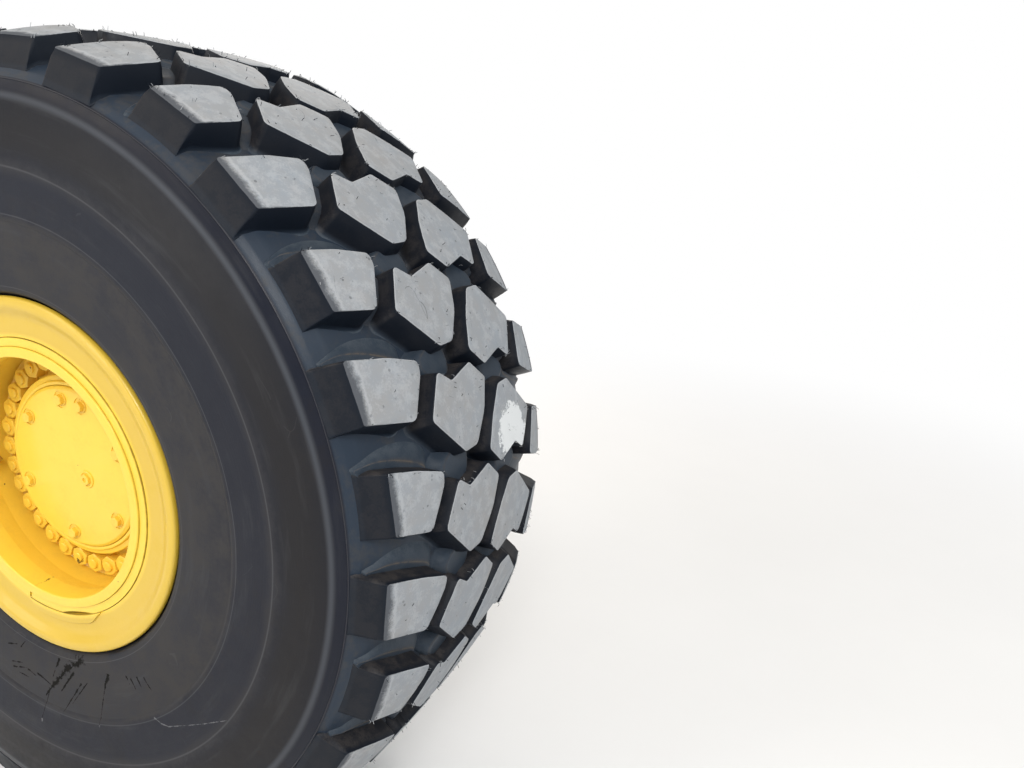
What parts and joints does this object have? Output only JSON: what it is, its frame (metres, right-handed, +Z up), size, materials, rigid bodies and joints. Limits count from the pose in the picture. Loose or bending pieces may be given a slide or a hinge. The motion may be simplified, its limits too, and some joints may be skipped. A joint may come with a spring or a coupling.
{
  "type": "wheel loader wheel and axle end",
  "caption": "Earthmover tyre on a multi-piece rim with planetary hub, carried by the axle arm that bolts to the machine's axle centre.",
  "frame": {"origin": "centre of the axle arm's bolting face, on the wheel's axis", "axes": "+Z up; +Y along the wheel's axis, out of the bolting face towards the machine; the wheel's outer side faces -Y"},
  "size_m": [1.8894, 1.091, 1.8894],
  "materials": {
    "tyre_rubber": "moulded rubber, ground-pale lug tops",
    "wheel_paint": "gloss enamel",
    "bolt_paint": "gloss enamel over bolts",
    "axle_paint": "satin enamel on cast iron",
    "shaft_steel": "turned and ground",
    "seal_rubber": "moulded",
    "valve_brass": "dull"
  },
  "bodies": {
    "axle": {"axle_arm": "axle_paint", "brake_housing": "axle_paint", "spindle": "axle_paint", "brake_bolts": "axle_paint", "drain_plug": "axle_paint", "bleed_screw": "axle_paint", "shaft_seal": "seal_rubber"},
    "wheel": {"tyre": "tyre_rubber", "rim_base": "wheel_paint", "outer_flange": "wheel_paint", "inner_flange": "wheel_paint", "bead_seat_band": "wheel_paint", "lock_ring": "wheel_paint", "driver_plate": "wheel_paint", "wheel_disc": "wheel_paint", "air_valve": "valve_brass", "wheel_nuts": "bolt_paint", "hub": "wheel_paint", "planet_carrier": "wheel_paint", "hub_cover": "wheel_paint", "cover_bolts": "bolt_paint", "level_plug": "bolt_paint"},
    "half_shaft": {"half_shaft": "shaft_steel"}
  },
  "joints": [
    {"name": "wheel_spin", "type": "hinge", "parent": "axle", "child": "wheel", "pos_m": [0, -0.64, 0], "axis": [0, 1, 0], "continuous": true},
    {"name": "shaft_spin", "type": "hinge", "parent": "axle", "child": "half_shaft", "pos_m": [0, 0, 0], "axis": [0, 1, 0], "continuous": true}
  ],
  "couplings": [
    {"joint": "shaft_spin", "follows": "wheel_spin", "ratio": 5.2}
  ]
}
